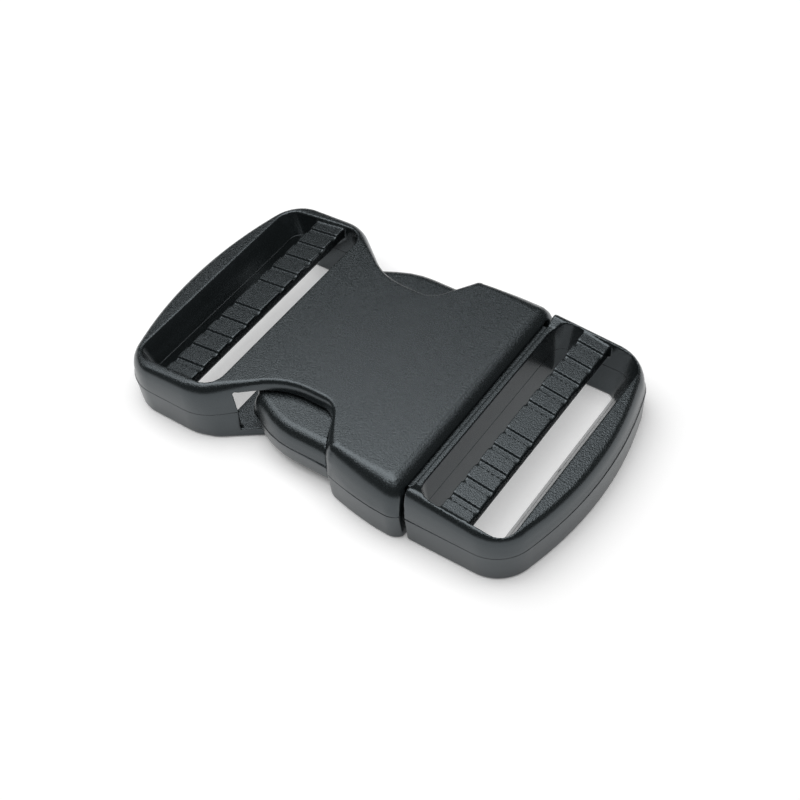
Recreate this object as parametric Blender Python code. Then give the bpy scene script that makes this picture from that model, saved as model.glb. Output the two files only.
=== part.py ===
"""Side-release buckle with an adjuster bar at each end, for flat webbing.

Two mouldings snap together: a socket (deck, collar and webbing frame) and a plug (webbing frame,
guide tongue and two springy latch arms). X runs along the webbing, from the socket to the plug,
Y across it, and Z up from the surface that the buckle lies on. The origin is the middle of the
underside. Sizes are in millimetres and are turned into metres when a mesh is made.
"""
import math

import bmesh
import bpy
from mathutils import Matrix, Vector

MM = 0.001

# Lengths along the webbing, to both sides of the mouth edge of the socket
SOCKET_LENGTH = 61.4
PLUG_REACH = 22.8
MOUTH_GAP = 0.7

# Heights: the top is one long arc from end to end, the moulds part at mid height, and the upper edges
# are rounded as quarter ellipses, taller than wide, over a share of the wall above the parting at most
CROWN_HEIGHT = 12.4
CROWN_RADIUS = 280.0
PARTING_HEIGHT = 5.7
WALL_DRAFT = 0.25
BOTTOM_EDGE = 0.5
EDGE_STRETCH = 1.9
EDGE_SHARE = 0.85
FLOOR_THICKNESS = 1.8
DECK_THICKNESS = 2.3

# Webbing slots, which flare upwards
WEBBING_WIDTH = 38.0
WEBBING_CLEARANCE = 1.4
SLOT_FLARE = 1.6
SLOT_CORNER = 3.2
SLOT_FLOOR_CORNER = 1.3
SLOT_LIP = 0.6
FRONT_FACE_LEAN = 0.6
SOCKET_RAIL = 3.0
PLUG_RAIL = 2.0
RAIL_EDGE = 1.9

# End rails, bowed in plan, with an inner face that leans towards the webbing
END_BOW_RADIUS = 62.0
END_CORNER = 7.2
END_EDGE = 1.5
END_RAIL = 5.1
END_FACE_LEAN = 5.0
PLUG_END_RAIL = 4.4
PLUG_FACE_LEAN = 4.6
PLUG_END_TAPER = 0.2

# Ladder bars, whose tops fall towards the ends of the buckle
BAR_SINK = 1.55
BAR_DROP = 0.85
BAR_SIDE = 2.0
BAR_BELLY = 0.9
BAR_TENON = 0.5
SOCKET_BAR_WIDTH = 6.2
PLUG_BAR_WIDTH = 5.1
SOCKET_SLOT_INNER = 4.7
SOCKET_SLOT_OUTER = 6.9
PLUG_SLOT_INNER = 4.8
RIB_PITCH = 3.82
RIB_GROOVE = 1.35
RIB_DEPTH = 0.4
RIB_SLOPE = 0.2
RIB_CENTRE_LAND = 5.3

# Collar around the mouth, bowed in plan
COLLAR_LENGTH = 17.0
COLLAR_STEP = 1.2
COLLAR_BOW_RADIUS = 58.0
COLLAR_WALL_MOUTH = 3.4
COLLAR_WALL_REAR = 4.3
COLLAR_EDGE = 3.6
COLLAR_REAR_EDGE = 2.1
COLLAR_STRAIGHT = 5.0
COLLAR_REAR_CORNER = 3.0
MOUTH_CORNER = 3.4
MOUTH_TRIM = 1.1

# Waist of the deck between the collar and the webbing frame
WAIST_DEPTH = 7.9
WAIST_LEAN = 1.8
SHOULDER_SETBACK = 1.8
FLANK_RUN = 11.0
FLANK_RADIUS = 13.0
WAIST_CORNER = 3.6
SHOULDER_RADIUS = 9.0
DECK_EDGE = 1.0
FLOOR_STEP = 1.8
WINDOW_WALL = 3.2

# Plug moulding: front rail, base block in the mouth, and guide tongue
PLUG_FRONT_RAIL = 1.1
PLUG_FRONT_DIP = 1.1
PLUG_BASE_LENGTH = 5.6
PLUG_BASE_EDGE = 0.5
SLIDE_CLEARANCE = 0.4
TONGUE_LENGTH = 24.0
TONGUE_WIDTH = 9.0
TONGUE_TIP_WIDTH = 7.0
TONGUE_HEIGHT = 5.4
TONGUE_TIP_RADIUS = 2.6
TONGUE_EDGE = 0.8

# Latch arms: a springy beam with a finger pad that bears on the back of the collar
BEAM_THICKNESS = 3.0
BEAM_WALL_GAP = 0.9
BEAM_RELIEF = 0.4
BEAM_EDGE = 0.5
ROOT_CLEARANCE = 0.3
LATCH_GAP = 0.4
LATCH_RECESS = 0.5
PAD_WINDOW_GAP = 1.33
PAD_NOSE = 7.3
PAD_STEP = 0.9
PAD_TOP_GAP = 0.6
PAD_INNER_STEP = 1.1
PAD_TIP_DROP = 3.6
PAD_TIP_RADIUS = 2.4
PAD_BOW_RADIUS = 16.0
PAD_EDGE = 2.4

# Finish
DECK_COLOUR = (0.036, 0.041, 0.042, 1.0)
DECK_ROUGHNESS = 0.55
PAD_COLOUR = (0.030, 0.034, 0.035, 1.0)
PAD_ROUGHNESS = 0.42
SMOOTH_ANGLE = math.radians(35.0)

# Facets and the reach of helper solids
ARC_STEP = math.radians(9.0)
EDGE_STEPS = 5
BOW_STEPS = 8
OVERLAP = 1.5
FILLET_SHARE = 0.49
MITRE_LIMIT = 2.0
TINY = 1e-9

# Places that follow from the sizes above
MOUTH_X = (SOCKET_LENGTH - PLUG_REACH) / 2
SOCKET_END_X = MOUTH_X - SOCKET_LENGTH
PLUG_END_X = MOUTH_X + PLUG_REACH
SLOT_HALF = (WEBBING_WIDTH + WEBBING_CLEARANCE) / 2
SLOT_TOP_HALF = SLOT_HALF + SLOT_FLARE
SOCKET_HALF = SLOT_TOP_HALF + SOCKET_RAIL
PLUG_HALF = SLOT_TOP_HALF + PLUG_RAIL
COLLAR_HALF = PLUG_HALF + COLLAR_STEP
COLLAR_REAR_X = MOUTH_X - COLLAR_LENGTH
SOCKET_SLOT_X0 = SOCKET_END_X + END_RAIL
SOCKET_BAR_X0 = SOCKET_SLOT_X0 + SOCKET_SLOT_OUTER
SOCKET_BAR_X1 = SOCKET_BAR_X0 + SOCKET_BAR_WIDTH
SOCKET_SLOT_X1 = SOCKET_BAR_X1 + SOCKET_SLOT_INNER
WINDOW_X = SOCKET_SLOT_X1 + WINDOW_WALL
CAVITY_TOP = CROWN_HEIGHT - DECK_THICKNESS
BAR_HEIGHT = CROWN_HEIGHT - BAR_SINK
RIBS_PER_SIDE = 1 + int((SLOT_HALF - RIB_CENTRE_LAND / 2 - RIB_GROOVE) / RIB_PITCH)
PLUG_X0 = MOUTH_X + MOUTH_GAP
PLUG_SLOT_X0 = PLUG_X0 + PLUG_FRONT_RAIL
PLUG_BAR_X0 = PLUG_SLOT_X0 + PLUG_SLOT_INNER
PLUG_BAR_X1 = PLUG_BAR_X0 + PLUG_BAR_WIDTH
PLUG_SLOT_X1 = PLUG_END_X - PLUG_END_RAIL
INNER_FLOOR = FLOOR_THICKNESS + SLIDE_CLEARANCE
INNER_TOP = CAVITY_TOP - SLIDE_CLEARANCE
INNER_MIDDLE = (INNER_FLOOR + INNER_TOP) / 2
PLUG_BASE_X0 = MOUTH_X - PLUG_BASE_LENGTH


def crown(x):
    """Height of the top surface at x."""
    return CROWN_HEIGHT - x * x / (2 * CROWN_RADIUS)


def collar_outside(x):
    """Half width of the collar, an arc that runs straight into the mouth edge."""
    return COLLAR_HALF - COLLAR_BOW_RADIUS + math.sqrt(COLLAR_BOW_RADIUS ** 2 - (MOUTH_X - x) ** 2)


COLLAR_CORNER_X = COLLAR_REAR_X + WAIST_LEAN
COLLAR_REAR_HALF = collar_outside(COLLAR_CORNER_X)
WAIST_HALF = COLLAR_REAR_HALF - WAIST_DEPTH
WAIST_X1 = COLLAR_REAR_X - WAIST_LEAN
SHOULDER_X = SOCKET_SLOT_X1 - SHOULDER_SETBACK
WAIST_X0 = SHOULDER_X + FLANK_RUN


def collar_inside(x):
    """Half width of the hollow inside the collar, which flares towards the mouth."""
    mouth = COLLAR_HALF - COLLAR_WALL_MOUTH
    rear = COLLAR_REAR_HALF - COLLAR_WALL_REAR
    return rear + (mouth - rear) * (x - COLLAR_REAR_X) / COLLAR_LENGTH


def collar_rear(y):
    """Place of the slanting back edge of the collar at half width y."""
    return WAIST_X1 + 2 * WAIST_LEAN * (y - WAIST_HALF) / WAIST_DEPTH


BEAM_OUTER = collar_inside(COLLAR_REAR_X) - BEAM_WALL_GAP
BEAM_INNER = BEAM_OUTER - BEAM_THICKNESS
ROOT_Y = (BEAM_OUTER + BEAM_INNER) / 2
PAD_HALF = COLLAR_REAR_HALF - PAD_STEP
PAD_TOP = CAVITY_TOP - PAD_TOP_GAP
LATCH_X = collar_rear(BEAM_OUTER) + LATCH_RECESS - LATCH_GAP
PAD_TIP_X = WINDOW_X + PAD_WINDOW_GAP


def rounded(corners, closed):
    """Path through corners (x, y, fillet radius, edge radius), as points (x, y, edge radius)."""
    points = []
    count = len(corners)
    for i, (x, y, radius, edge) in enumerate(corners):
        if radius == 0 or (not closed and i in (0, count - 1)):
            points.append((x, y, edge))
            continue
        here = Vector((x, y))
        previous, following = corners[i - 1], corners[(i + 1) % count]
        before = Vector(previous[:2]) - here
        after = Vector(following[:2]) - here
        turn = math.pi - before.angle(after)
        room_before = before.length * (FILLET_SHARE if previous[2] else 2 * FILLET_SHARE)
        room_after = after.length * (FILLET_SHARE if following[2] else 2 * FILLET_SHARE)
        reach = min(radius * math.tan(turn / 2), room_before, room_after)
        radius = reach / math.tan(turn / 2)
        bisector = (before.normalized() + after.normalized()).normalized()
        centre = here + bisector * math.hypot(reach, radius)
        first = here + before.normalized() * reach - centre
        side = 1.0 if before.x * after.y - before.y * after.x < 0 else -1.0
        steps = max(2, math.ceil(turn / ARC_STEP))
        for k in range(steps + 1):
            angle = side * turn * k / steps
            c, s = math.cos(angle), math.sin(angle)
            points.append((centre.x + c * first.x - s * first.y,
                           centre.y + s * first.x + c * first.y, edge))
    return points


def mirrored(half):
    """Closed loop from a half path above the X axis."""
    below = [(x, -y, *rest) for x, y, *rest in reversed(half) if y > TINY]
    return list(half) + below


def inset(loop, amounts):
    """Loop moved inwards by an amount at each point. The loop runs clockwise seen from above."""
    moved = []
    count = len(loop)
    for i, (point, amount) in enumerate(zip(loop, amounts)):
        here = Vector(point[:2])
        into = (here - Vector(loop[i - 1][:2])).normalized()
        out = (Vector(loop[(i + 1) % count][:2]) - here).normalized()
        normal = Vector((into.y + out.y, -into.x - out.x)).normalized()
        stretch = 1.0 / max(1.0 / MITRE_LIMIT, normal.dot(Vector((out.y, -out.x))))
        moved.append(here + normal * amount * stretch)
    return moved


def rounded_rows(loop, bottom, top, widest=PARTING_HEIGHT):
    """Rows of a solid with rounded upper and lower edges, widest at the parting line."""
    edges = [point[2] for point in loop]
    lower = []
    upper = []
    for k in range(EDGE_STEPS + 1):
        angle = math.pi / 2 * k / EDGE_STEPS
        sink, climb = 1 - math.sin(angle), 1 - math.cos(angle)
        points = inset(loop, [WALL_DRAFT + edge * sink for edge in edges])
        tall = [min(EDGE_STRETCH * edge, EDGE_SHARE * (top(p.x) - widest)) for p, edge in zip(points, edges)]
        upper.append([(p.x, p.y, top(p.x) - fall * climb) for p, fall in zip(points, tall)])
        points = inset(loop, [WALL_DRAFT + BOTTOM_EDGE * sink] * len(loop))
        lower.append([(p.x, p.y, bottom + BOTTOM_EDGE * climb) for p in points])
    middle = [(x, y, widest) for x, y, *_ in loop]
    return lower + [middle] + upper[::-1]


def close_across(bm, ring):
    """Closes a ring that is symmetric about the X axis with strips from side to side."""
    left, right = 0, len(ring) - 1
    if abs(ring[0].co.y) < TINY:
        bm.faces.new((ring[0], ring[1], ring[right]))
        left = 1
    while right - left > 2:
        bm.faces.new((ring[left], ring[left + 1], ring[right - 1], ring[right]))
        left, right = left + 1, right - 1
    if right - left == 2:
        bm.faces.new((ring[left], ring[left + 1], ring[right]))


def loft(name, rows, curved_caps=False, trim=None):
    """Solid through rows of equal loops. Trim (point, normal) cuts it flat and drops that side."""
    bm = bmesh.new()
    rings = [[bm.verts.new(Vector(point) * MM) for point in row] for row in rows]
    count = len(rings[0])
    for lower, upper in zip(rings, rings[1:]):
        for i in range(count):
            j = (i + 1) % count
            bm.faces.new((lower[i], lower[j], upper[j], upper[i]))
    for ring in (rings[0], rings[-1]):
        if curved_caps:
            close_across(bm, ring)
        else:
            bm.faces.new(ring)
    if trim:
        (x, y), normal = trim
        bmesh.ops.bisect_plane(bm, geom=bm.verts[:] + bm.edges[:] + bm.faces[:], dist=TINY,
                               plane_co=(x * MM, y * MM, 0), plane_no=(*normal, 0), clear_outer=True)
        bmesh.ops.holes_fill(bm, edges=[edge for edge in bm.edges if edge.is_boundary])
    bmesh.ops.recalc_face_normals(bm, faces=bm.faces)
    mesh = bpy.data.meshes.new(name)
    bm.to_mesh(mesh)
    bm.free()
    mesh.shade_smooth()
    mesh.set_sharp_from_angle(angle=SMOOTH_ANGLE)
    obj = bpy.data.objects.new(name, mesh)
    bpy.context.collection.objects.link(obj)
    return obj


def block(name, corners, bottom, top, widest=PARTING_HEIGHT, trim=None):
    """Flat-topped solid with rounded edges over a closed outline."""
    rows = rounded_rows(rounded(corners, True), bottom, lambda x: top, widest)
    return loft(name, rows, trim=trim)


def combine(target, tool, operation):
    """Adds or cuts with a helper solid, which stays in the file as a wire guide."""
    modifier = target.modifiers.new(operation.lower() + "_" + tool.name, "BOOLEAN")
    modifier.operation = operation
    modifier.solver = "EXACT"
    modifier.object = tool
    tool.hide_render = True
    tool.display_type = "WIRE"


def place_origin(obj, origin, parent=None, parent_origin=(0, 0, 0)):
    """Moves the object's origin onto its joint axis and hangs it on the piece that carries it."""
    obj.data.transform(Matrix.Translation(-Vector(origin) * MM))
    obj.parent = parent
    obj.location = (Vector(origin) - Vector(parent_origin)) * MM


def finish(obj, colour, roughness):
    """Gives the piece its own moulded acetal."""
    material = bpy.data.materials.new(obj.name + "_acetal")
    material.use_nodes = True
    shader = material.node_tree.nodes["Principled BSDF"]
    shader.inputs["Base Color"].default_value = colour
    shader.inputs["Roughness"].default_value = roughness
    shader.inputs["Metallic"].default_value = 0.0
    material.diffuse_color = colour
    obj.data.materials.append(material)


def funnel(name, x0, x1, lean0, lean1, rim):
    """Webbing slot that reaches x0, x1 and its full flare at the height of the rim."""
    top = CROWN_HEIGHT + OVERLAP
    rows = []
    for z, share in ((-OVERLAP, 0), (SLOT_LIP, 0), (top, (top - SLOT_LIP) / (rim - SLOT_LIP))):
        left = x0 + lean0 * (1 - share)
        right = x1 - lean1 * (1 - share)
        half = SLOT_HALF + SLOT_FLARE * share
        corner = SLOT_FLOOR_CORNER + (SLOT_CORNER - SLOT_FLOOR_CORNER) * share
        corners = [(left, -half, corner, 0), (left, half, corner, 0),
                   (right, half, corner, 0), (right, -half, corner, 0)]
        rows.append([(x, y, z) for x, y, _ in rounded(corners, True)])
    return loft(name, rows)


def bowed_end(end_x, inward, half):
    """Corners of a bowed end from the X axis to the start of its side, as (x, y, fillet, edge)."""
    reach = half - END_CORNER
    run = math.sqrt(END_BOW_RADIUS ** 2 - reach ** 2)
    corners = []
    for k in range(BOW_STEPS + 1):
        y = reach * k / BOW_STEPS
        bow = END_BOW_RADIUS - math.sqrt(END_BOW_RADIUS ** 2 - y ** 2)
        corners.append((end_x + inward * bow, y, 0, END_EDGE))
    corner_bow = END_BOW_RADIUS - run + END_CORNER * reach / run
    corners.append((end_x + inward * corner_bow, half, END_CORNER, END_EDGE))
    return corners


def rib_stations():
    """Stations (y, depth) along a ladder bar: lands with a groove between each pair."""
    half = SLOT_TOP_HALF + BAR_TENON
    right = []
    for k in range(RIBS_PER_SIDE):
        start = RIB_CENTRE_LAND / 2 + RIB_PITCH * k
        end = start + RIB_GROOVE
        right += [(start, 0), (start + RIB_SLOPE, RIB_DEPTH), (end - RIB_SLOPE, RIB_DEPTH), (end, 0)]
    right.append((half, 0))
    return [(-y, depth) for y, depth in reversed(right)] + right


def ladder_bar(name, x0, x1, fall0, fall1):
    """Ribbed crossbar that the webbing bites on. Its top lies fall0 and fall1 below the bar height."""
    z0 = BAR_HEIGHT - fall0
    z1 = BAR_HEIGHT - fall1
    belly = BAR_HEIGHT - BAR_DROP - BAR_SIDE - BAR_BELLY
    quarter = (x1 - x0) / 4
    rows = []
    for y, depth in rib_stations():
        rows.append([(x0, y, z0 - depth), (x1, y, z1 - depth), (x1, y, z1 - BAR_SIDE),
                     (x1 - quarter, y, belly + BAR_BELLY / 4), (x0 + 2 * quarter, y, belly),
                     (x0 + quarter, y, belly + BAR_BELLY / 4), (x0, y, z0 - BAR_SIDE)])
    return loft(name, rows)


def socket_outline():
    """Half outline of the socket, from the bowed end to just past the mouth."""
    nose_x = MOUTH_X + MOUTH_TRIM
    corners = bowed_end(SOCKET_END_X, 1, SOCKET_HALF)
    corners += [
        (SHOULDER_X, SOCKET_HALF, SHOULDER_RADIUS, RAIL_EDGE),
        (WAIST_X0, WAIST_HALF, FLANK_RADIUS, DECK_EDGE),
        (WAIST_X1, WAIST_HALF, WAIST_CORNER, DECK_EDGE),
        (COLLAR_CORNER_X, COLLAR_REAR_HALF, COLLAR_REAR_CORNER, COLLAR_REAR_EDGE),
    ]
    bow_end = MOUTH_X - COLLAR_STRAIGHT
    for k in range(1, BOW_STEPS + 1):
        share = k / BOW_STEPS
        x = COLLAR_CORNER_X + (bow_end - COLLAR_CORNER_X) * share
        edge = COLLAR_REAR_EDGE + (COLLAR_EDGE - COLLAR_REAR_EDGE) * share
        corners.append((x, collar_outside(x), 0, edge))
    corners += [(nose_x, COLLAR_HALF, MOUTH_CORNER, COLLAR_EDGE), (nose_x, 0, 0, 0)]
    return rounded(corners, False)[:-1]


def floor_step(x):
    """How far the floor stands out past the deck along the waist, fading out at both ends."""
    share = (x - SHOULDER_X) / (COLLAR_CORNER_X - SHOULDER_X)
    return FLOOR_STEP * math.sin(math.pi * share) if 0 < share < 1 else 0.0


def socket_rows():
    rows = rounded_rows(mirrored(socket_outline()), 0, crown)
    for i in range(EDGE_STEPS + 1):
        rows[i] = [(x, y + math.copysign(floor_step(x), y), z) for x, y, z in rows[i]]
    return rows


def make_socket():
    body = loft("socket_body", socket_rows(), curved_caps=True, trim=((MOUTH_X, 0), (1, 0)))
    slot = funnel("socket_slot", SOCKET_SLOT_X0, SOCKET_SLOT_X1, END_FACE_LEAN, 0, crown(SOCKET_SLOT_X0))
    combine(body, slot, "DIFFERENCE")
    mouth = MOUTH_X + OVERLAP
    window = SOCKET_HALF + OVERLAP
    seat = collar_inside(COLLAR_REAR_X)
    half = [(SOCKET_BAR_X1, SLOT_HALF), (WINDOW_X, SLOT_HALF), (WINDOW_X, window),
            (collar_rear(window) + LATCH_RECESS, window), (collar_rear(seat) + LATCH_RECESS, seat),
            (mouth, collar_inside(mouth))]
    loop = mirrored(half)
    cavity = loft("socket_cavity", [[(x, y, z) for x, y in loop] for z in (FLOOR_THICKNESS, CAVITY_TOP)])
    combine(body, cavity, "DIFFERENCE")
    combine(body, ladder_bar("socket_bar", SOCKET_BAR_X0, SOCKET_BAR_X1, BAR_DROP, 0), "UNION")
    finish(body, DECK_COLOUR, DECK_ROUGHNESS)
    return body


def make_tongue():
    tip_x = PLUG_BASE_X0 - TONGUE_LENGTH
    root_x = PLUG_BASE_X0 + OVERLAP
    tip = TONGUE_TIP_WIDTH / 2
    root = TONGUE_WIDTH / 2
    corners = [(tip_x, -tip, TONGUE_TIP_RADIUS, TONGUE_EDGE), (tip_x, tip, TONGUE_TIP_RADIUS, TONGUE_EDGE),
               (root_x, root, 0, TONGUE_EDGE), (root_x, -root, 0, TONGUE_EDGE)]
    bottom = INNER_MIDDLE - TONGUE_HEIGHT / 2
    return block("guide_tongue", corners, bottom, bottom + TONGUE_HEIGHT, INNER_MIDDLE)


def make_base():
    """Block in the mouth that carries the arms and the tongue, with a seat for each arm's root."""
    back_x = PLUG_X0 + PLUG_FRONT_RAIL / 2
    front = collar_inside(PLUG_BASE_X0) - SLIDE_CLEARANCE
    back = collar_inside(MOUTH_X) - SLIDE_CLEARANCE
    fillet = 2 * PLUG_BASE_EDGE
    corners = [(PLUG_BASE_X0, -front, fillet, PLUG_BASE_EDGE), (PLUG_BASE_X0, front, fillet, PLUG_BASE_EDGE),
               (back_x, back, 0, PLUG_BASE_EDGE), (back_x, -back, 0, PLUG_BASE_EDGE)]
    base = block("plug_base", corners, INNER_FLOOR, INNER_TOP)
    combine(base, make_tongue(), "UNION")
    seat_radius = BEAM_THICKNESS / 2 + ROOT_CLEARANCE
    steps = round(2 * math.pi / ARC_STEP)
    for side, name in ((1, "left_seat"), (-1, "right_seat")):
        ring = [(PLUG_BASE_X0 + seat_radius * math.cos(2 * math.pi * k / steps),
                 side * ROOT_Y + seat_radius * math.sin(2 * math.pi * k / steps)) for k in range(steps)]
        heights = (INNER_FLOOR - OVERLAP, INNER_TOP + OVERLAP)
        seat = loft(name, [[(x, y, z) for x, y in ring] for z in heights])
        combine(base, seat, "DIFFERENCE")
    return base


def make_plug():
    corners = bowed_end(PLUG_END_X, -1, PLUG_HALF - PLUG_END_TAPER)
    corners.reverse()
    corners.insert(0, (PLUG_X0 - OVERLAP, PLUG_HALF, 0, RAIL_EDGE))
    rows = rounded_rows(mirrored(rounded(corners, False)), 0, crown)
    frame = loft("plug_frame", rows, curved_caps=True, trim=((PLUG_X0, 0), (-1, 0)))
    rim = crown(PLUG_SLOT_X1)
    slot = funnel("plug_slot", PLUG_SLOT_X0, PLUG_SLOT_X1, FRONT_FACE_LEAN, PLUG_FACE_LEAN, rim)
    combine(frame, slot, "DIFFERENCE")
    low = crown(PLUG_X0) - PLUG_FRONT_DIP
    high = CROWN_HEIGHT + OVERLAP
    wide = SLOT_HALF + SLOT_FLARE * (high - low) / PLUG_FRONT_DIP
    profile = [(-SLOT_HALF, low), (SLOT_HALF, low), (wide, high), (-wide, high)]
    places = (PLUG_X0 - OVERLAP, PLUG_SLOT_X0 + OVERLAP)
    dip = loft("front_dip", [[(x, y, z) for y, z in profile] for x in places])
    combine(frame, dip, "DIFFERENCE")
    combine(frame, make_base(), "UNION")
    combine(frame, ladder_bar("plug_bar", PLUG_BAR_X0, PLUG_BAR_X1, 0, BAR_DROP), "UNION")
    finish(frame, DECK_COLOUR, DECK_ROUGHNESS)
    return frame


def make_arm(name, side):
    """Latch arm on one side: a finger pad cut flat where it bears, on a beam with a round root."""
    inner = BEAM_INNER - PAD_INNER_STEP
    past = collar_rear(PAD_HALF) + PAD_EDGE + OVERLAP
    corners = [(PAD_TIP_X, inner, PAD_TIP_RADIUS, BEAM_EDGE),
               (PAD_TIP_X, PAD_HALF - PAD_TIP_DROP, PAD_TIP_RADIUS, PAD_EDGE),
               (PAD_TIP_X + PAD_NOSE, PAD_HALF, PAD_BOW_RADIUS, PAD_EDGE),
               (past, PAD_HALF, 0, PAD_EDGE), (past, inner, 0, BEAM_EDGE)]
    if side < 0:
        corners = [(x, -y, fillet, edge) for x, y, fillet, edge in reversed(corners)]
    bearing = ((LATCH_X, side * BEAM_OUTER), (WAIST_DEPTH, -side * 2 * WAIST_LEAN))
    pad = block(name, corners, INNER_FLOOR, PAD_TOP, trim=bearing)
    root = BEAM_THICKNESS / 2
    start = (LATCH_X + PAD_TIP_X) / 2
    beam_corners = [(start, BEAM_INNER, 0, BEAM_EDGE), (start, BEAM_OUTER, 0, BEAM_EDGE),
                    (PLUG_BASE_X0 + root, BEAM_OUTER, root, BEAM_EDGE),
                    (PLUG_BASE_X0 + root, BEAM_INNER, root, BEAM_EDGE)]
    if side < 0:
        beam_corners = [(x, -y, fillet, edge) for x, y, fillet, edge in reversed(beam_corners)]
    beam_bottom, beam_top = INNER_FLOOR + BEAM_RELIEF, PAD_TOP - BEAM_RELIEF
    beam = block(name + "_beam", beam_corners, beam_bottom, beam_top, INNER_MIDDLE)
    combine(pad, beam, "UNION")
    finish(pad, PAD_COLOUR, PAD_ROUGHNESS)
    return pad


def clear_scene():
    for obj in list(bpy.data.objects):
        bpy.data.objects.remove(obj, do_unlink=True)


def main():
    clear_scene()
    make_socket()
    plug = make_plug()
    slide_origin = (PLUG_X0, 0, INNER_MIDDLE)
    place_origin(plug, slide_origin)
    for name, side in (("left_latch_arm", 1), ("right_latch_arm", -1)):
        arm = make_arm(name, side)
        place_origin(arm, (PLUG_BASE_X0, side * ROOT_Y, INNER_MIDDLE), plug, slide_origin)


main()
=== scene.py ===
"""Looks of a side-release webbing buckle, laid out as a Blender add-on.

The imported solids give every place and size. Each moulding is copied, its sharp edges are rounded as a
mould rounds them, and its faces get the grain or the polish that the mould leaves on them.
"""

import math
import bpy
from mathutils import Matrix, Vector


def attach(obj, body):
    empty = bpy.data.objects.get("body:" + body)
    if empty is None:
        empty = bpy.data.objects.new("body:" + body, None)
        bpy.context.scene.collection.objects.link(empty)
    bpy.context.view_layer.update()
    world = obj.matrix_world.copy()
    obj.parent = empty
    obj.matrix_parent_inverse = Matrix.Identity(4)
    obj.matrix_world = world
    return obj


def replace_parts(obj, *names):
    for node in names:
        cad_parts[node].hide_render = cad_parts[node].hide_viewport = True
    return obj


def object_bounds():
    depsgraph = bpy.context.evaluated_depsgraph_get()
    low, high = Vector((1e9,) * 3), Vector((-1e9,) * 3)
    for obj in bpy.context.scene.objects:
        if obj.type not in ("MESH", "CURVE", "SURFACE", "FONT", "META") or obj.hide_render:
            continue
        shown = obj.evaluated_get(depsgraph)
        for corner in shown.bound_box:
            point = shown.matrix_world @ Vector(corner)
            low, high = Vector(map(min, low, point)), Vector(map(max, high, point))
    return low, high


bl_info = {
    "name": "Webbing buckle finish",
    "version": (1, 0, 0),
    "blender": (4, 5, 0),
    "location": "View3D > Sidebar > Buckle",
    "description": "Dresses the mouldings of a side-release buckle and sets them on a studio floor",
    "category": "Object",
}

import bmesh
import bpy
import numpy as np
from bpy.props import FloatProperty, FloatVectorProperty, IntProperty, PointerProperty
from mathutils import Matrix, Vector

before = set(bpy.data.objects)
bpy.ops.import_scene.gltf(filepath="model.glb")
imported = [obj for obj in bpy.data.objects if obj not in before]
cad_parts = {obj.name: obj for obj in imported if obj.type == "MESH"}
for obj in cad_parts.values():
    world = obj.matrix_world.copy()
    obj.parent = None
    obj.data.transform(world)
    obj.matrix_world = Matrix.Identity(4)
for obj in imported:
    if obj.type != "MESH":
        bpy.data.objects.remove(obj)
CAD_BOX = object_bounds()

MM = 0.001

# Reading the solids: corners this close are one, faces this flat are one, edges past this angle are sharp.
WELD = 1e-6
FLAT_ANGLE = math.radians(0.05)
SHARP_ANGLE = math.radians(33.0)

# The rounding of an edge has faded out at this many times its reach.
EDGE_FADE = 2.0
# Sides of the witness line's round section, and how often the faces of the gate's stub are split.
LINE_SIDES = 6
STUB_SPLITS = 3
# A Mix node's vector sockets by number, because they share their names with its other sockets.
MIX_FIRST, MIX_SECOND, MIX_RESULT = 4, 5, 1

# Moulded acetal. Its gloss is set above the usual 0.5, to give the bright sheen that the real one has.
ACETAL_IOR = 1.48
GLOSS_LEVEL = 0.95
WALL_ROUGHNESS = 0.24
WALL_GRAIN = 0.12
CLOUD_WIDTH = 9 * MM
PIT_NOISE = (("Detail", 2.0), ("Roughness", 0.6))
CLOUD_NOISE = (("Detail", 3.0), ("Roughness", 0.55))
# From the middle of a noise's range to a factor on the colour, pit by pit and in broad clouds, and to the
# roughness of the grain.
PIT_COLOUR = (("From Min", 0.3), ("From Max", 0.7), ("To Min", 0.8), ("To Max", 1.2))
CLOUD_COLOUR = (("From Min", 0.3), ("From Max", 0.7), ("To Min", 0.94), ("To Max", 1.06))
PIT_ROUGHNESS = (("From Min", 0.35), ("From Max", 0.65), ("To Min", 0.19), ("To Max", 0.33))

# The floor lies a little below the buckle, so that their faces are not in one plane.
FLOOR_REACH = 1.5
FLOOR_GAP = 0.02 * MM
# Sensor width in millimetres, and the nearest distance that the camera sees.
SENSOR = 36.0
NEAR_CLIP = 10 * MM


def linear(code):
    """Linear colour, with full alpha, of an sRGB hex code."""
    shares = [int(code[i:i + 2], 16) / 255 for i in (0, 2, 4)]
    return [s / 12.92 if s <= 0.04045 else ((s + 0.055) / 1.055) ** 2.4 for s in shares] + [1.0]


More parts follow.
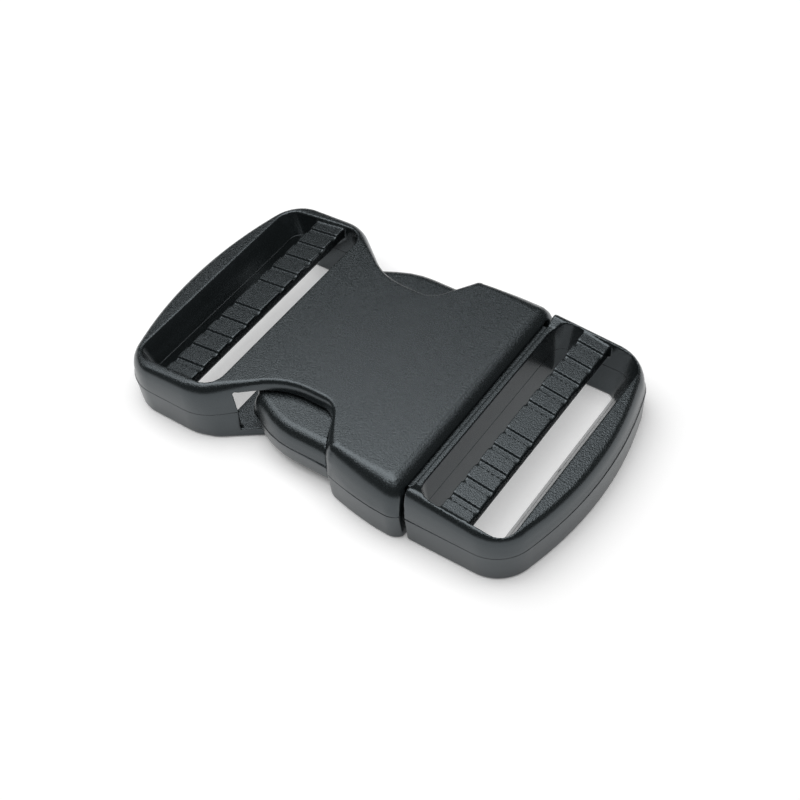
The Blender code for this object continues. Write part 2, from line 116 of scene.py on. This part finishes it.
class MouldingSettings(bpy.types.PropertyGroup):
    """How finely the mouldings are meshed, how their edges are rounded and what the mould leaves on them."""

    grid: FloatProperty(
        name="Grid", default=0.15 * MM, unit="LENGTH",
        description="Spacing of the grid that the moulding is meshed on")
    edge_passes: IntProperty(
        name="Edge passes", default=4,
        description="Smoothing passes that round a sharp edge")
    edge_reach: FloatProperty(
        name="Edge reach", default=0.32 * MM, unit="LENGTH",
        description="How far from a sharp edge its rounding is felt")
    keep: FloatProperty(
        name="Kept share", default=0.2, subtype="FACTOR",
        description="Share of the grid's triangles that is kept")
    grain_start: FloatProperty(
        name="Grain start", default=math.radians(57.0), subtype="ANGLE",
        description="Slope of a face above which it has no grain")
    grain_full: FloatProperty(
        name="Grain full", default=math.radians(32.0), subtype="ANGLE",
        description="Slope of a face below which its grain is full")
    slot_half: FloatProperty(
        name="Slot half", default=19.8 * MM, unit="LENGTH",
        description="Half width of a slot, inside which ribs stay crisp")
    rib_height: FloatProperty(
        name="Rib height", default=9.4 * MM, unit="LENGTH",
        description="Height above which the ribs lie")
    end_land: FloatProperty(
        name="End land", default=4.9 * MM, unit="LENGTH",
        description="Length of the coarse-grained land at each end")
    # A real witness line is about 0.05 mm wide. It is drawn wider, so that it shows.
    parting_height: FloatProperty(
        name="Parting height", default=5.7 * MM, unit="LENGTH",
        description="Height at which the mould halves meet")
    parting_width: FloatProperty(
        name="Parting width", default=0.24 * MM, unit="LENGTH",
        description="Width of the witness line on the walls")
    parting_sink: FloatProperty(
        name="Parting sink", default=0.08 * MM, unit="LENGTH",
        description="Depth of the witness line's axis in the wall")
    gate_place: FloatVectorProperty(
        name="Gate", default=(34.96 * MM, -1.6 * MM, 4.4 * MM), subtype="TRANSLATION",
        description="Where the plug was cut from its runner")
    gate_size: FloatVectorProperty(
        name="Gate size", default=(0.8 * MM, 0.45 * MM, 0.14 * MM), subtype="XYZ_LENGTH",
        description="Length, width and height of the gate's stub")


class AcetalSettings(bpy.types.PropertyGroup):
    """Colours and grain of the moulded acetal."""

    body: FloatVectorProperty(
        name="Body", default=linear("1b1f20"), size=4, subtype="COLOR",
        description="Colour of the socket and the plug frame")
    arm: FloatVectorProperty(
        name="Arms", default=linear("1a1e1f"), size=4, subtype="COLOR",
        description="Colour of the latch arms")
    # Painted shade: the witness line is drawn in this darker colour, where the real line is the same acetal
    # as the body and looks dark from the shade in its shallow groove. The gate's stub is drawn in it too.
    witness: FloatVectorProperty(
        name="Witness line", default=linear("0b0c0c"), size=4, subtype="COLOR",
        description="Colour of the parting line")
    gloss: FloatVectorProperty(
        name="Gloss", default=linear("ecf8ff"), size=4, subtype="COLOR",
        description="Cool tint of the plastic's gloss")
    # Real spark-eroded pits are about 0.05 mm wide. They are drawn coarser, so that they show.
    grain: FloatProperty(
        name="Grain", default=0.2 * MM, unit="LENGTH",
        description="Width of a pit left by spark erosion")
    grain_depth: FloatProperty(
        name="Grain depth", default=0.055 * MM, unit="LENGTH",
        description="Depth of a pit left by spark erosion")
    coarse_grain: FloatProperty(
        name="Coarse grain", default=0.32 * MM, unit="LENGTH",
        description="Width of a pit on the end lands")
    coarse_depth: FloatProperty(
        name="Coarse depth", default=0.06 * MM, unit="LENGTH",
        description="Depth of a pit on the end lands")


class StageSettings(bpy.types.PropertyGroup):
    """Camera, light and floor of the studio."""

    azimuth: FloatProperty(
        name="Azimuth", default=math.radians(39.915), subtype="ANGLE",
        description="Turn of the camera around the buckle, from the -Y side")
    elevation: FloatProperty(
        name="Elevation", default=math.radians(48.602), subtype="ANGLE",
        description="Height of the camera above the floor, as an angle")
    roll: FloatProperty(
        name="Roll", default=math.radians(-6.461), subtype="ANGLE",
        description="Tilt of the camera about its own axis")
    distance: FloatProperty(
        name="Distance", default=230.4 * MM, unit="LENGTH",
        description="From the camera to the point that it looks at")
    target: FloatVectorProperty(
        name="Target", default=(8.45 * MM, -7.04 * MM, 10.85 * MM), subtype="TRANSLATION",
        description="Point that the camera looks at")
    lens: FloatProperty(
        name="Lens", default=64.37, unit="CAMERA",
        description="Focal length in millimetres")
    key: FloatProperty(
        name="Key light", default=7.4, unit="POWER",
        description="Power of the overhead softbox")
    key_length: FloatProperty(
        name="Key length", default=1.1, unit="LENGTH",
        description="Size of the softbox along the webbing")
    key_width: FloatProperty(
        name="Key width", default=0.75, unit="LENGTH",
        description="Size of the softbox across the webbing")
    key_place: FloatVectorProperty(
        name="Key place", default=(-0.17, 0.0, 0.7), subtype="TRANSLATION",
        description="Where the softbox hangs, facing straight down")
    fill: FloatProperty(
        name="Fill", default=0.05,
        description="Strength of the dim surroundings")
    floor: FloatVectorProperty(
        name="Floor", default=linear("f6f6f6"), size=4, subtype="COLOR",
        description="Colour of the studio floor")
    floor_lift: FloatProperty(
        name="Floor lift", default=0.15, subtype="FACTOR",
        description="White that the lens adds to the bare floor")


def add_node(tree, kind, inputs=(), **options):
    """Adds a node with its options, and sets or links its inputs, given as (name or number, value) pairs."""
    made = tree.nodes.new(kind)
    for option, value in options.items():
        setattr(made, option, value)
    for key, value in inputs:
        if isinstance(value, bpy.types.NodeSocket):
            tree.links.new(value, made.inputs[key])
        else:
            made.inputs[key].default_value = value
    return made


def node_group(name, inputs):
    """Geometry node group with a geometry input and output and named inputs, given as (name, kind) pairs."""
    group = bpy.data.node_groups.new(name, "GeometryNodeTree")
    group.interface.new_socket("Geometry", in_out="INPUT", socket_type="NodeSocketGeometry")
    for label, kind in inputs:
        group.interface.new_socket(label, in_out="INPUT", socket_type=kind)
    group.interface.new_socket("Geometry", in_out="OUTPUT", socket_type="NodeSocketGeometry")
    return group


def add_tree(obj, group, values):
    """Puts a node group on an object and sets its inputs by their identifiers."""
    modifier = obj.modifiers.new(group.name, "NODES")
    modifier.node_group = group
    for item in group.interface.items_tree:
        if item.in_out == "INPUT" and item.name in values:
            modifier[item.identifier] = values[item.name]


def finish_tree(group, geometry, material):
    """Ends a tree with a plain mesh of one material."""
    plain = add_node(group, "GeometryNodeRealizeInstances", [("Geometry", geometry)])
    dressed = add_node(group, "GeometryNodeSetMaterial",
                       [("Geometry", plain.outputs[0]), ("Material", material)])
    add_node(group, "NodeGroupOutput", [("Geometry", dressed.outputs[0])])


def baked(obj):
    """Plain mesh of an object as its modifiers leave it."""
    graph = bpy.context.evaluated_depsgraph_get()
    return bpy.data.meshes.new_from_object(obj.evaluated_get(graph))


def new_object(name, mesh):
    """Object at the origin that shows a mesh."""
    obj = bpy.data.objects.new(name, mesh)
    bpy.context.collection.objects.link(obj)
    return obj


def discard(*objects):
    """Removes objects that were needed only while a piece was made."""
    for obj in objects:
        mesh = obj.data
        bpy.data.objects.remove(obj)
        bpy.data.meshes.remove(mesh)


def merged_node(node):
    """Welded copy of a CAD node, smooth except along its sharp edges."""
    bm = bmesh.new()
    bm.from_mesh(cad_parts[node].data)
    bmesh.ops.remove_doubles(bm, verts=bm.verts, dist=WELD)
    bmesh.ops.dissolve_limit(bm, angle_limit=FLAT_ANGLE, verts=bm.verts, edges=bm.edges)
    for face in bm.faces:
        face.smooth = True
    for edge in bm.edges:
        edge.smooth = edge.calc_face_angle(0.0) < SHARP_ANGLE
    return bm


def skin_of(node):
    """Object with the node's own faces, which carries its smooth normals as an attribute."""
    bm = merged_node(node)
    mesh = bpy.data.meshes.new(node + "_skin")
    bm.to_mesh(mesh)
    bm.free()
    skin = new_object(node + "_skin", mesh)
    weighted = skin.modifiers.new("weighted", "WEIGHTED_NORMAL")
    weighted.keep_sharp = True
    smooth = baked(skin)
    normals = np.empty(len(smooth.loops) * 3, dtype=np.float32)
    smooth.corner_normals.foreach_get("vector", normals)
    smooth.attributes.new("skin_normal", "FLOAT_VECTOR", "CORNER").data.foreach_set("vector", normals)
    discard(skin)
    return new_object(node + "_skin", smooth)


def edge_mesh(name, edges):
    """Object with a few edges of a mesh that is being edited."""
    places = {}
    for edge in edges:
        for vert in edge.verts:
            places.setdefault(vert, len(places))
    mesh = bpy.data.meshes.new(name)
    mesh.from_pydata([v.co.copy() for v in places], [[places[v] for v in edge.verts] for edge in edges], [])
    return new_object(name, mesh)


def on_rib(edge):
    """Says whether an edge runs along the webbing on top of a ribbed bar."""
    settings = bpy.context.scene.buckle_moulding
    first, last = (vert.co for vert in edge.verts)
    level = abs(last.x - first.x) > max(abs(last.y - first.y), abs(last.z - first.z))
    return level and abs(first.y) < settings.slot_half and min(first.z, last.z) > settings.rib_height


def wire_of(node):
    """Object with the node's sharp edges, apart from those of the ribs, which stay crisp."""
    bm = merged_node(node)
    wire = edge_mesh(node + "_wire", [edge for edge in bm.edges if not edge.smooth and not on_rib(edge)])
    bm.free()
    return wire


def section_of(node):
    """Object with the edges at which the mould's parting plane cuts a node."""
    bm = merged_node(node)
    height = bpy.context.scene.buckle_moulding.parting_height
    cut = bmesh.ops.bisect_plane(bm, geom=bm.verts[:] + bm.edges[:] + bm.faces[:], dist=WELD,
                                 plane_co=(0, 0, height), plane_no=(0, 0, 1))["geom_cut"]
    section = edge_mesh(node + "_section", [item for item in cut if isinstance(item, bmesh.types.BMEdge)])
    bm.free()
    return section


def share_from_edges(group, wire, reach):
    """Field that is 0 at a sharp edge and 1 past its rounding."""
    near = add_node(group, "GeometryNodeProximity", [(0, wire)], target_element="EDGES")
    far = add_node(group, "ShaderNodeMath", [(0, reach), (1, EDGE_FADE)], operation="MULTIPLY")
    ramp = add_node(group, "ShaderNodeMapRange",
                    [("Value", near.outputs["Distance"]), ("From Min", reach), ("From Max", far.outputs[0])],
                    interpolation_type="SMOOTHSTEP")
    return ramp.outputs["Result"]


def normal_from_skin(group, skin):
    """Field with the smooth normal of the nearest place on the skin."""
    own = add_node(group, "GeometryNodeInputNamedAttribute", [("Name", "skin_normal")],
                   data_type="FLOAT_VECTOR")
    found = add_node(group, "GeometryNodeSampleNearestSurface",
                     [("Mesh", skin), ("Value", own.outputs["Attribute"])], data_type="FLOAT_VECTOR")
    return found.outputs["Value"]


def edge_tree():
    """Rounds sharp edges by smoothing near them, and lays the rest of the grid back on the skin."""
    group = node_group("rounded_edges", (("Skin", "NodeSocketObject"), ("Wire", "NodeSocketObject"),
                                         ("Passes", "NodeSocketInt"), ("Reach", "NodeSocketFloat"),
                                         ("Material", "NodeSocketMaterial")))
    given = add_node(group, "NodeGroupInput").outputs
    skin = add_node(group, "GeometryNodeObjectInfo", [("Object", given["Skin"])]).outputs["Geometry"]
    wire = add_node(group, "GeometryNodeObjectInfo", [("Object", given["Wire"])]).outputs["Geometry"]
    place = add_node(group, "GeometryNodeInputPosition").outputs[0]
    smooth = add_node(group, "GeometryNodeBlurAttribute",
                      [("Value", place), ("Iterations", given["Passes"])], data_type="FLOAT_VECTOR")
    near_skin = add_node(group, "GeometryNodeProximity", [(0, skin)], target_element="FACES")
    mixed = add_node(group, "ShaderNodeMix",
                     [("Factor", share_from_edges(group, wire, given["Reach"])),
                      (MIX_FIRST, smooth.outputs["Value"]), (MIX_SECOND, near_skin.outputs["Position"])],
                     data_type="VECTOR")
    moved = add_node(group, "GeometryNodeSetPosition",
                     [("Geometry", given["Geometry"]), ("Position", mixed.outputs[MIX_RESULT])])
    finish_tree(group, moved.outputs[0], given["Material"])
    return group


def normal_tree():
    """Carries the skin's smooth normals over to the thinned grid."""
    group = node_group("skin_normals", (("Skin", "NodeSocketObject"), ("Wire", "NodeSocketObject"),
                                        ("Reach", "NodeSocketFloat"), ("Material", "NodeSocketMaterial")))
    given = add_node(group, "NodeGroupInput").outputs
    skin = add_node(group, "GeometryNodeObjectInfo", [("Object", given["Skin"])]).outputs["Geometry"]
    wire = add_node(group, "GeometryNodeObjectInfo", [("Object", given["Wire"])]).outputs["Geometry"]
    kept = add_node(group, "GeometryNodeStoreNamedAttribute",
                    [("Geometry", given["Geometry"]), ("Name", "skin_normal"),
                     ("Value", normal_from_skin(group, skin))], data_type="FLOAT_VECTOR", domain="POINT")
    both = add_node(group, "GeometryNodeStoreNamedAttribute",
                    [("Geometry", kept.outputs[0]), ("Name", "skin_share"),
                     ("Value", share_from_edges(group, wire, given["Reach"]))],
                    data_type="FLOAT", domain="POINT")
    finish_tree(group, both.outputs[0], given["Material"])
    return group


def parting_tree():
    """Runs a thin round witness line along a section of the skin, sunk into the wall."""
    group = node_group("parting_line", (("Skin", "NodeSocketObject"), ("Width", "NodeSocketFloat"),
                                        ("Sink", "NodeSocketFloat"), ("Material", "NodeSocketMaterial")))
    given = add_node(group, "NodeGroupInput").outputs
    skin = add_node(group, "GeometryNodeObjectInfo", [("Object", given["Skin"])]).outputs["Geometry"]
    depth = add_node(group, "ShaderNodeMath", [(0, given["Sink"]), (1, -1.0)], operation="MULTIPLY")
    inwards = add_node(group, "ShaderNodeVectorMath",
                       [(0, normal_from_skin(group, skin)), ("Scale", depth.outputs[0])], operation="SCALE")
    path = add_node(group, "GeometryNodeMeshToCurve", [("Mesh", given["Geometry"])])
    sunk = add_node(group, "GeometryNodeSetPosition",
                    [("Geometry", path.outputs[0]), ("Offset", inwards.outputs[0])])
    half = add_node(group, "ShaderNodeMath", [(0, given["Width"]), (1, 0.5)], operation="MULTIPLY")
    ring = add_node(group, "GeometryNodeCurvePrimitiveCircle",
                    [("Resolution", LINE_SIDES), ("Radius", half.outputs[0])])
    line = add_node(group, "GeometryNodeCurveToMesh",
                    [("Curve", sunk.outputs[0]), ("Profile Curve", ring.outputs[0])])
    finish_tree(group, line.outputs[0], given["Material"])
    return group


def set_normals(mesh):
    """Uses the skin's normals away from the edges, and marks the faces that the mould leaves grained."""
    count = len(mesh.vertices)
    own = np.empty(count * 3, dtype=np.float32)
    mesh.vertex_normals.foreach_get("vector", own)
    skin = np.empty(count * 3, dtype=np.float32)
    mesh.attributes["skin_normal"].data.foreach_get("vector", skin)
    share = np.empty(count, dtype=np.float32)
    mesh.attributes["skin_share"].data.foreach_get("value", share)
    mixed = own.reshape(-1, 3) * (1 - share[:, None]) + skin.reshape(-1, 3) * share[:, None]
    mixed /= np.linalg.norm(mixed, axis=1)[:, None]
    for name in ("skin_normal", "skin_share"):
        mesh.attributes.remove(mesh.attributes[name])
    mark_grain(mesh, mixed[:, 2])
    mesh.shade_smooth()
    mesh.normals_split_custom_set_from_vertices([tuple(n) for n in mixed.tolist()])


def mark_grain(mesh, rise):
    """Marks how much of the fine grain and of the coarse one each point has, from the rise of its normal."""
    settings = bpy.context.scene.buckle_moulding
    start, full = math.cos(settings.grain_start), math.cos(settings.grain_full)
    level = np.clip((rise - start) / (full - start), 0, 1)
    places = np.empty(len(mesh.vertices) * 3, dtype=np.float32)
    mesh.vertices.foreach_get("co", places)
    along = places[::3]
    ends = (along < CAD_BOX[0][0] + settings.end_land) | (along > CAD_BOX[1][0] - settings.end_land)
    for name, share in (("grain", level), ("coarse", level * ends)):
        mesh.attributes.new(name, "FLOAT", "POINT").data.foreach_set("value", share.astype(np.float32))


def place_piece(name, mesh, body):
    """Finished piece that rides on its body, in the material that its mesh carries."""
    mesh.name = name
    piece = new_object(name, mesh)
    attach(piece, body)
    return piece


def moulding(node, name, body, material):
    """Piece that stands for a CAD node: the same shape with rounded edges, on its body."""
    settings = bpy.context.scene.buckle_moulding
    skin, wire = skin_of(node), wire_of(node)
    grid = new_object(name + "_grid", skin.data.copy())
    remesh = grid.modifiers.new("grid", "REMESH")
    remesh.mode = "VOXEL"
    remesh.voxel_size = settings.grid
    values = {"Skin": skin, "Wire": wire, "Passes": settings.edge_passes, "Reach": settings.edge_reach,
              "Material": material}
    add_tree(grid, edge_tree(), values)
    thin = grid.modifiers.new("thin", "DECIMATE")
    thin.ratio = settings.keep
    add_tree(grid, normal_tree(), values)
    mesh = baked(grid)
    set_normals(mesh)
    discard(grid, skin, wire)
    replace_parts(place_piece(name, mesh, body), node)


def parting_line(node, name, body, material):
    """Witness line that the parting of the mould leaves around a moulding."""
    settings = bpy.context.scene.buckle_moulding
    skin, section = skin_of(node), section_of(node)
    add_tree(section, parting_tree(), {"Skin": skin, "Width": settings.parting_width,
                                       "Sink": settings.parting_sink, "Material": material})
    mesh = baked(section)
    mesh.shade_smooth()
    discard(section, skin)
    place_piece(name, mesh, body)


def gate_mark(name, body, material):
    """Stub that is left on the end rail where the runner was cut off."""
    settings = bpy.context.scene.buckle_moulding
    skin = skin_of("plug_frame")
    _, spot, normal, _ = skin.closest_point_on_mesh(Vector(settings.gate_place))
    along = Vector((0, 1, 0))
    across = normal.cross(along).normalized()
    turned = Matrix((along, across, normal)).transposed().to_4x4()
    turned.translation = spot
    sized = Matrix.Diagonal((*settings.gate_size, 1.0))
    # A ball one unit across, which is then brought to the stub's size.
    bm = bmesh.new()
    bmesh.ops.create_icosphere(bm, subdivisions=STUB_SPLITS, radius=0.5)
    bmesh.ops.transform(bm, matrix=turned @ sized, verts=bm.verts)
    mesh = bpy.data.meshes.new(name)
    bm.to_mesh(mesh)
    bm.free()
    mesh.shade_smooth()
    mesh.materials.append(material)
    discard(skin)
    place_piece(name, mesh, body)


def new_material(name):
    """Material with an empty node tree, and that tree."""
    material = bpy.data.materials.new(name)
    material.use_nodes = True
    material.node_tree.nodes.clear()
    return material, material.node_tree


def acetal(name, colour):
    """Injection-moulded acetal, a waxy near-black plastic.

    Spark-eroded mould faces leave a fine matte grain, which glitters where a lamp rakes it, and a coarser
    one on the end lands. Plain mould walls leave a smoother face with a soft sheen.
    """
    settings = bpy.context.scene.buckle_acetal
    material, tree = new_material(name)
    place = add_node(tree, "ShaderNodeTexCoord").outputs["Object"]
    fine, coarse = (add_node(tree, "ShaderNodeAttribute", attribute_name=mark).outputs["Fac"]
                    for mark in ("grain", "coarse"))
    widths = ((settings.grain, PIT_NOISE), (settings.coarse_grain, PIT_NOISE), (CLOUD_WIDTH, CLOUD_NOISE))
    pits, deep, cloud = (
        add_node(tree, "ShaderNodeTexNoise", [("Vector", place), ("Scale", 1 / width), *noise]).outputs["Fac"]
        for width, noise in widths)

    share = add_node(tree, "ShaderNodeMapRange", [("Value", fine), ("To Min", WALL_GRAIN), ("To Max", 1.0)])
    grained = add_node(tree, "ShaderNodeBump",
                       [("Height", pits), ("Strength", share.outputs["Result"]),
                        ("Distance", settings.grain_depth)])
    bump = add_node(tree, "ShaderNodeBump",
                    [("Height", deep), ("Strength", coarse), ("Distance", settings.coarse_depth),
                     ("Normal", grained.outputs["Normal"])])

    speck = add_node(tree, "ShaderNodeMapRange", [("Value", pits), *PIT_COLOUR])
    shade = add_node(tree, "ShaderNodeMapRange", [("Value", cloud), *CLOUD_COLOUR])
    level = add_node(tree, "ShaderNodeMath",
                     [(0, speck.outputs["Result"]), (1, shade.outputs["Result"])], operation="MULTIPLY")
    tint = add_node(tree, "ShaderNodeVectorMath",
                    [(0, colour[:3]), ("Scale", level.outputs[0])], operation="SCALE")

    worn = add_node(tree, "ShaderNodeMapRange", [("Value", pits), *PIT_ROUGHNESS])
    rough = add_node(tree, "ShaderNodeMix",
                     [("Factor", fine), ("A", WALL_ROUGHNESS), ("B", worn.outputs["Result"])])

    shader = add_node(tree, "ShaderNodeBsdfPrincipled",
                      [("Base Color", tint.outputs[0]), ("Roughness", rough.outputs[0]),
                       ("Normal", bump.outputs["Normal"]), ("IOR", ACETAL_IOR),
                       ("Specular IOR Level", GLOSS_LEVEL), ("Specular Tint", settings.gloss),
                       ("Metallic", 0.0)])
    add_node(tree, "ShaderNodeOutputMaterial", [("Surface", shader.outputs[0])])
    return material


def white_card(settings):
    """Matte white card. It takes the shadow, and looks white to the lens and in reflections."""
    material, tree = new_material("matte_white_card")
    card = add_node(tree, "ShaderNodeBsdfDiffuse", [("Color", settings.floor)])
    ray = add_node(tree, "ShaderNodeLightPath").outputs
    seen = add_node(tree, "ShaderNodeMath",
                    [(0, ray["Is Camera Ray"]), (1, ray["Is Glossy Ray"])], operation="MAXIMUM")
    through = add_node(tree, "ShaderNodeMath",
                       [(0, seen.outputs[0]), (1, ray["Is Transmission Ray"])], operation="MAXIMUM")
    lift = add_node(tree, "ShaderNodeMath",
                    [(0, through.outputs[0]), (1, settings.floor_lift)], operation="MULTIPLY")
    glow = add_node(tree, "ShaderNodeEmission", [("Strength", lift.outputs[0])])
    both = add_node(tree, "ShaderNodeAddShader", [(0, card.outputs[0]), (1, glow.outputs[0])])
    add_node(tree, "ShaderNodeOutputMaterial", [("Surface", both.outputs[0])])
    return material


def make_floor(settings):
    """Pale studio floor of matte card."""
    bm = bmesh.new()
    below = Matrix.Translation((0.0, 0.0, -FLOOR_GAP))
    bmesh.ops.create_grid(bm, x_segments=1, y_segments=1, size=FLOOR_REACH, matrix=below)
    mesh = bpy.data.meshes.new("studio_floor")
    bm.to_mesh(mesh)
    bm.free()
    floor = new_object("studio_floor", mesh)
    mesh.materials.append(white_card(settings))


def make_light(settings):
    """Dim white surroundings, and one large softbox overhead."""
    world = bpy.data.worlds.new("dim_studio")
    world.use_nodes = True
    background = world.node_tree.nodes["Background"]
    background.inputs["Color"].default_value = linear("ffffff")
    background.inputs["Strength"].default_value = settings.fill
    bpy.context.scene.world = world
    data = bpy.data.lights.new("overhead_softbox", "AREA")
    data.shape = "RECTANGLE"
    data.energy = settings.key
    data.size, data.size_y = settings.key_length, settings.key_width
    lamp = bpy.data.objects.new("overhead_softbox", data)
    lamp.location = settings.key_place
    bpy.context.collection.objects.link(lamp)


def make_camera(settings):
    """Camera on a sphere around its target, rolled about its own axis."""
    a, e, r = settings.azimuth, settings.elevation, settings.roll
    back = Vector((math.sin(a) * math.cos(e), -math.cos(a) * math.cos(e), math.sin(e)))
    level = Vector((math.cos(a), math.sin(a), 0.0))
    upright = back.cross(level)
    right = math.cos(r) * level + math.sin(r) * upright
    up = math.cos(r) * upright - math.sin(r) * level
    data = bpy.data.cameras.new("camera")
    data.sensor_width = SENSOR
    data.lens = settings.lens
    data.clip_start = NEAR_CLIP
    camera = bpy.data.objects.new("camera", data)
    turned = Matrix((right, up, back)).transposed().to_4x4()
    turned.translation = Vector(settings.target) + back * settings.distance
    camera.matrix_world = turned
    bpy.context.collection.objects.link(camera)
    bpy.context.scene.camera = camera
    bpy.context.scene.view_settings.view_transform = "Standard"


class BUCKLE_OT_socket(bpy.types.Operator):
    """Dresses the socket, with its collar, deck and webbing frame"""

    bl_idname = "buckle.socket"
    bl_label = "Socket"

    def execute(self, context):
        colours = context.scene.buckle_acetal
        material = acetal("socket_moulded_acetal", colours.body)
        moulding("socket_body", "socket_moulding", "socket", material)
        # The witness line's darker acetal, whose colour is painted shade.
        witness = acetal("socket_witness_painted_shade", colours.witness)
        parting_line("socket_body", "socket_parting_line", "socket", witness)
        return {"FINISHED"}


class BUCKLE_OT_plug(bpy.types.Operator):
    """Dresses the plug frame, with its base block and guide tongue"""

    bl_idname = "buckle.plug"
    bl_label = "Plug"

    def execute(self, context):
        colours = context.scene.buckle_acetal
        material = acetal("plug_moulded_acetal", colours.body)
        moulding("plug_frame", "plug_moulding", "plug", material)
        # The witness line's darker acetal, whose colour is painted shade.
        witness = acetal("plug_witness_painted_shade", colours.witness)
        parting_line("plug_frame", "plug_parting_line", "plug", witness)
        # The gate's stub takes the same painted-shade acetal.
        gate_mark("plug_gate_mark", "plug", witness)
        return {"FINISHED"}


class BUCKLE_OT_arms(bpy.types.Operator):
    """Dresses both latch arms"""

    bl_idname = "buckle.arms"
    bl_label = "Latch arms"

    def execute(self, context):
        colours = context.scene.buckle_acetal
        material = acetal("arm_moulded_acetal", colours.arm)
        # The witness lines' darker acetal, whose colour is painted shade.
        witness = acetal("arm_witness_painted_shade", colours.witness)
        for side in ("left", "right"):
            node, body = side + "_latch_arm", side + "_arm"
            moulding(node, body + "_moulding", body, material)
            parting_line(node, body + "_parting_line", body, witness)
        return {"FINISHED"}


class BUCKLE_OT_stage(bpy.types.Operator):
    """Sets the floor, the light and the camera"""

    bl_idname = "buckle.stage"
    bl_label = "Studio"

    def execute(self, context):
        settings = context.scene.buckle_stage
        make_floor(settings)
        make_light(settings)
        make_camera(settings)
        return {"FINISHED"}


class BUCKLE_PT_panel(bpy.types.Panel):
    """Lists the pieces of the buckle and the settings of its finish"""

    bl_idname = "BUCKLE_PT_panel"
    bl_label = "Buckle"
    bl_space_type = "VIEW_3D"
    bl_region_type = "UI"
    bl_category = "Buckle"

    def draw(self, context):
        for operator in OPERATORS:
            self.layout.operator(operator.bl_idname)
        for name in SETTINGS:
            group = getattr(context.scene, name)
            box = self.layout.box()
            for setting in group.bl_rna.properties:
                if setting.identifier not in ("rna_type", "name"):
                    box.prop(group, setting.identifier)


SETTINGS = {
    "buckle_moulding": MouldingSettings,
    "buckle_acetal": AcetalSettings,
    "buckle_stage": StageSettings,
}
OPERATORS = (BUCKLE_OT_socket, BUCKLE_OT_plug, BUCKLE_OT_arms, BUCKLE_OT_stage)
CLASSES = tuple(SETTINGS.values()) + OPERATORS + (BUCKLE_PT_panel,)


def register():
    """Registers the classes and puts the settings on the scene."""
    for cls in CLASSES:
        bpy.utils.register_class(cls)
    for name, cls in SETTINGS.items():
        setattr(bpy.types.Scene, name, PointerProperty(type=cls))


def unregister():
    """Takes the settings and the classes away again."""
    for name in SETTINGS:
        delattr(bpy.types.Scene, name)
    for cls in reversed(CLASSES):
        bpy.utils.unregister_class(cls)


def main():
    """Makes every piece and the stage."""
    register()
    bpy.ops.buckle.socket()
    bpy.ops.buckle.plug()
    bpy.ops.buckle.arms()
    bpy.ops.buckle.stage()


if __name__ == "__main__":
    main()
